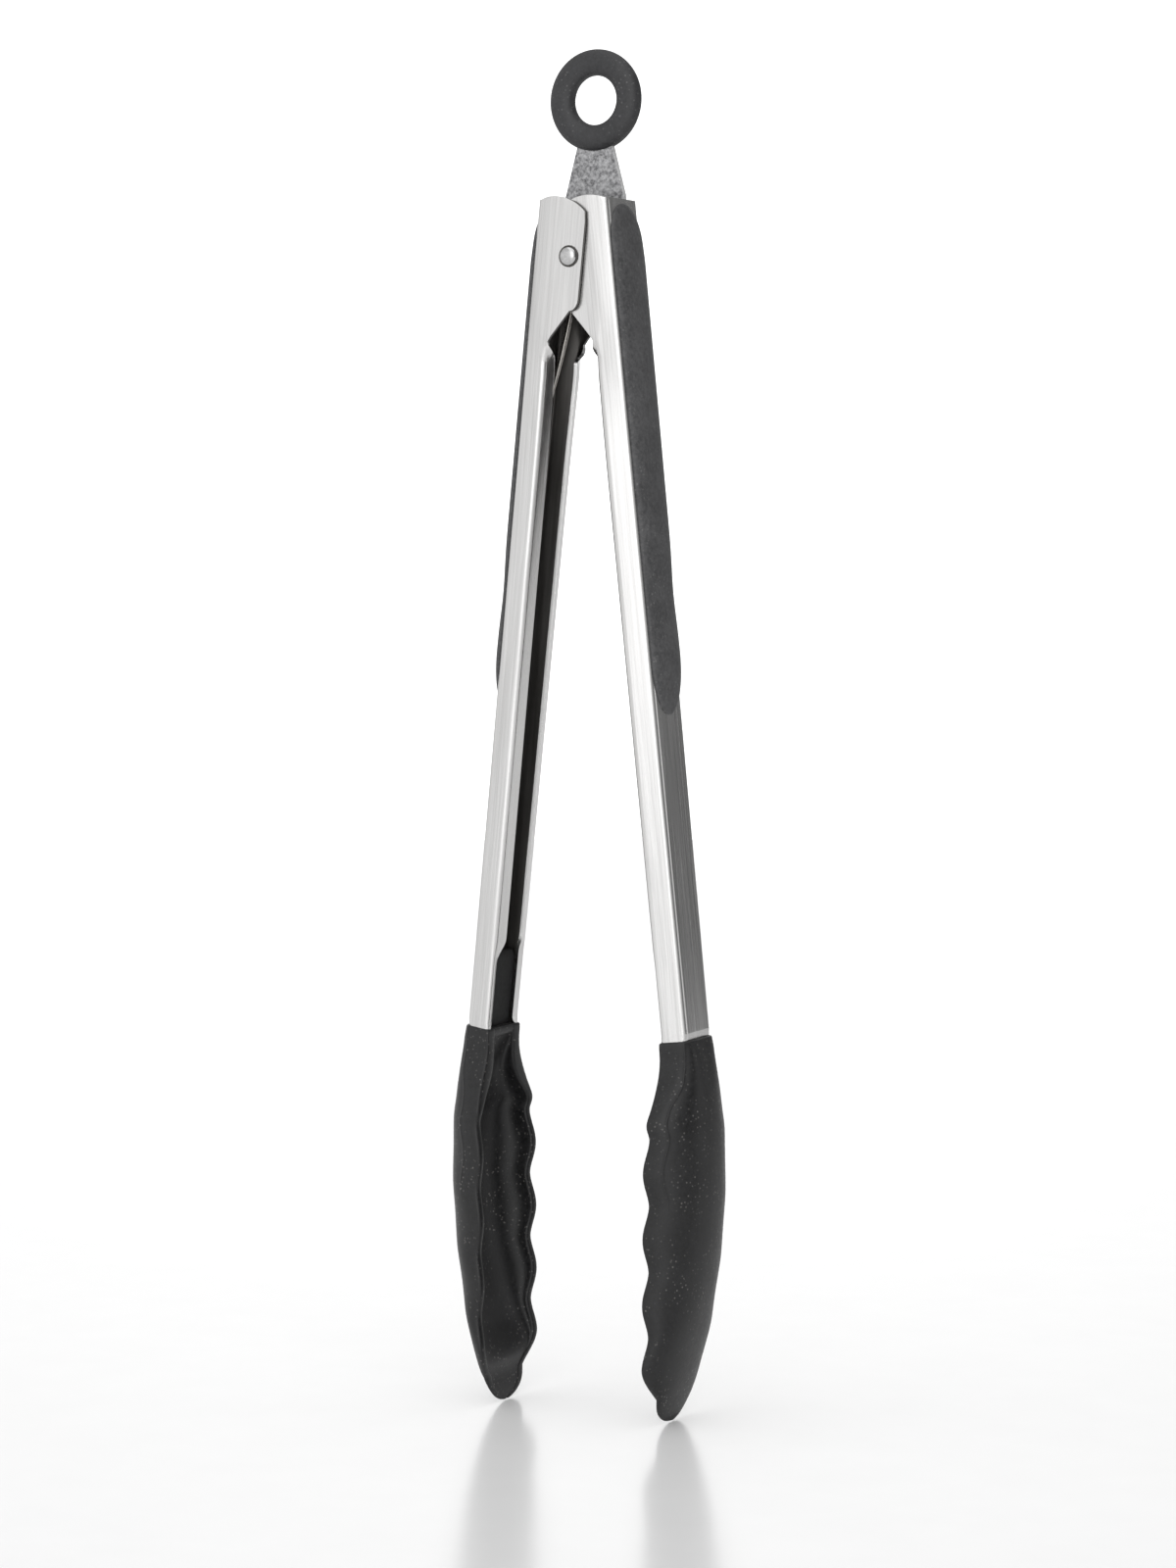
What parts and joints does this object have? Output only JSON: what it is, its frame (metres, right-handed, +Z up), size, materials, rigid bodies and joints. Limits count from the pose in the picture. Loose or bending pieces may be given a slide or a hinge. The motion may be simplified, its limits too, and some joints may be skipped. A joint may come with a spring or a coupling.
{
  "type": "spring loaded kitchen tongs",
  "caption": "Spring loaded kitchen tongs with two hinged steel channel arms, scalloped silicone scoop heads, soft grip pads, a lock tab and a hanging ring.",
  "frame": {"origin": "on the surface that the tips stand on, midway between the two heads, at the middle of the channel width", "axes": "+Z up along the tongs towards the hanging ring, X the way the jaws open with the right arm at +X, Y across the channels with the lock tab's plate at +Y"},
  "size_m": [0.0724, 0.0296, 0.34],
  "materials": {
    "arm_steel": "stainless sheet brushed along the arm",
    "tab_steel": "tumbled stainless plate, mottled grey",
    "rivet_steel": "polished domed rivet",
    "spring_steel": "drawn spring wire",
    "core_nylon": "black moulded nylon",
    "head_silicone": "matte black silicone",
    "grip_rubber": "soft touch charcoal rubber",
    "ring_rubber": "charcoal rubber"
  },
  "bodies": {
    "pivot": {"pivot_rivet": "rivet_steel", "spacer_sleeve": "rivet_steel", "spring_coil": "spring_steel"},
    "left_arm": {"left_arm": "arm_steel", "left_grip_pad": "grip_rubber", "left_head_core": "core_nylon", "left_head_sleeve": "head_silicone", "spring_left_leg": "spring_steel"},
    "right_arm": {"right_arm": "arm_steel", "right_grip_pad": "grip_rubber", "right_head_core": "core_nylon", "right_head_sleeve": "head_silicone", "spring_right_leg": "spring_steel"},
    "tab": {"pull_tab": "tab_steel", "hanging_ring": "ring_rubber"}
  },
  "joints": [
    {"name": "right_arm_swing", "type": "hinge", "parent": "pivot", "child": "right_arm", "pos_m": [0, 0, 0.28865], "axis": [0, 1, 0], "range_deg": [0, 4.5], "stiffness_Nm_per_rad": 1, "springref_deg": -20.05},
    {"name": "left_arm_swing", "type": "hinge", "parent": "pivot", "child": "left_arm", "pos_m": [0, 0, 0.28865], "axis": [0, -1, 0], "range_deg": [0, 4.5], "stiffness_Nm_per_rad": 1, "springref_deg": -20.05},
    {"name": "tab_slide", "type": "slide", "parent": "pivot", "child": "tab", "axis": [0, 0, 1], "range_m": [0, 0.008]}
  ],
  "couplings": [
    {"joint": "left_arm_swing", "follows": "right_arm_swing", "ratio": 1}
  ]
}
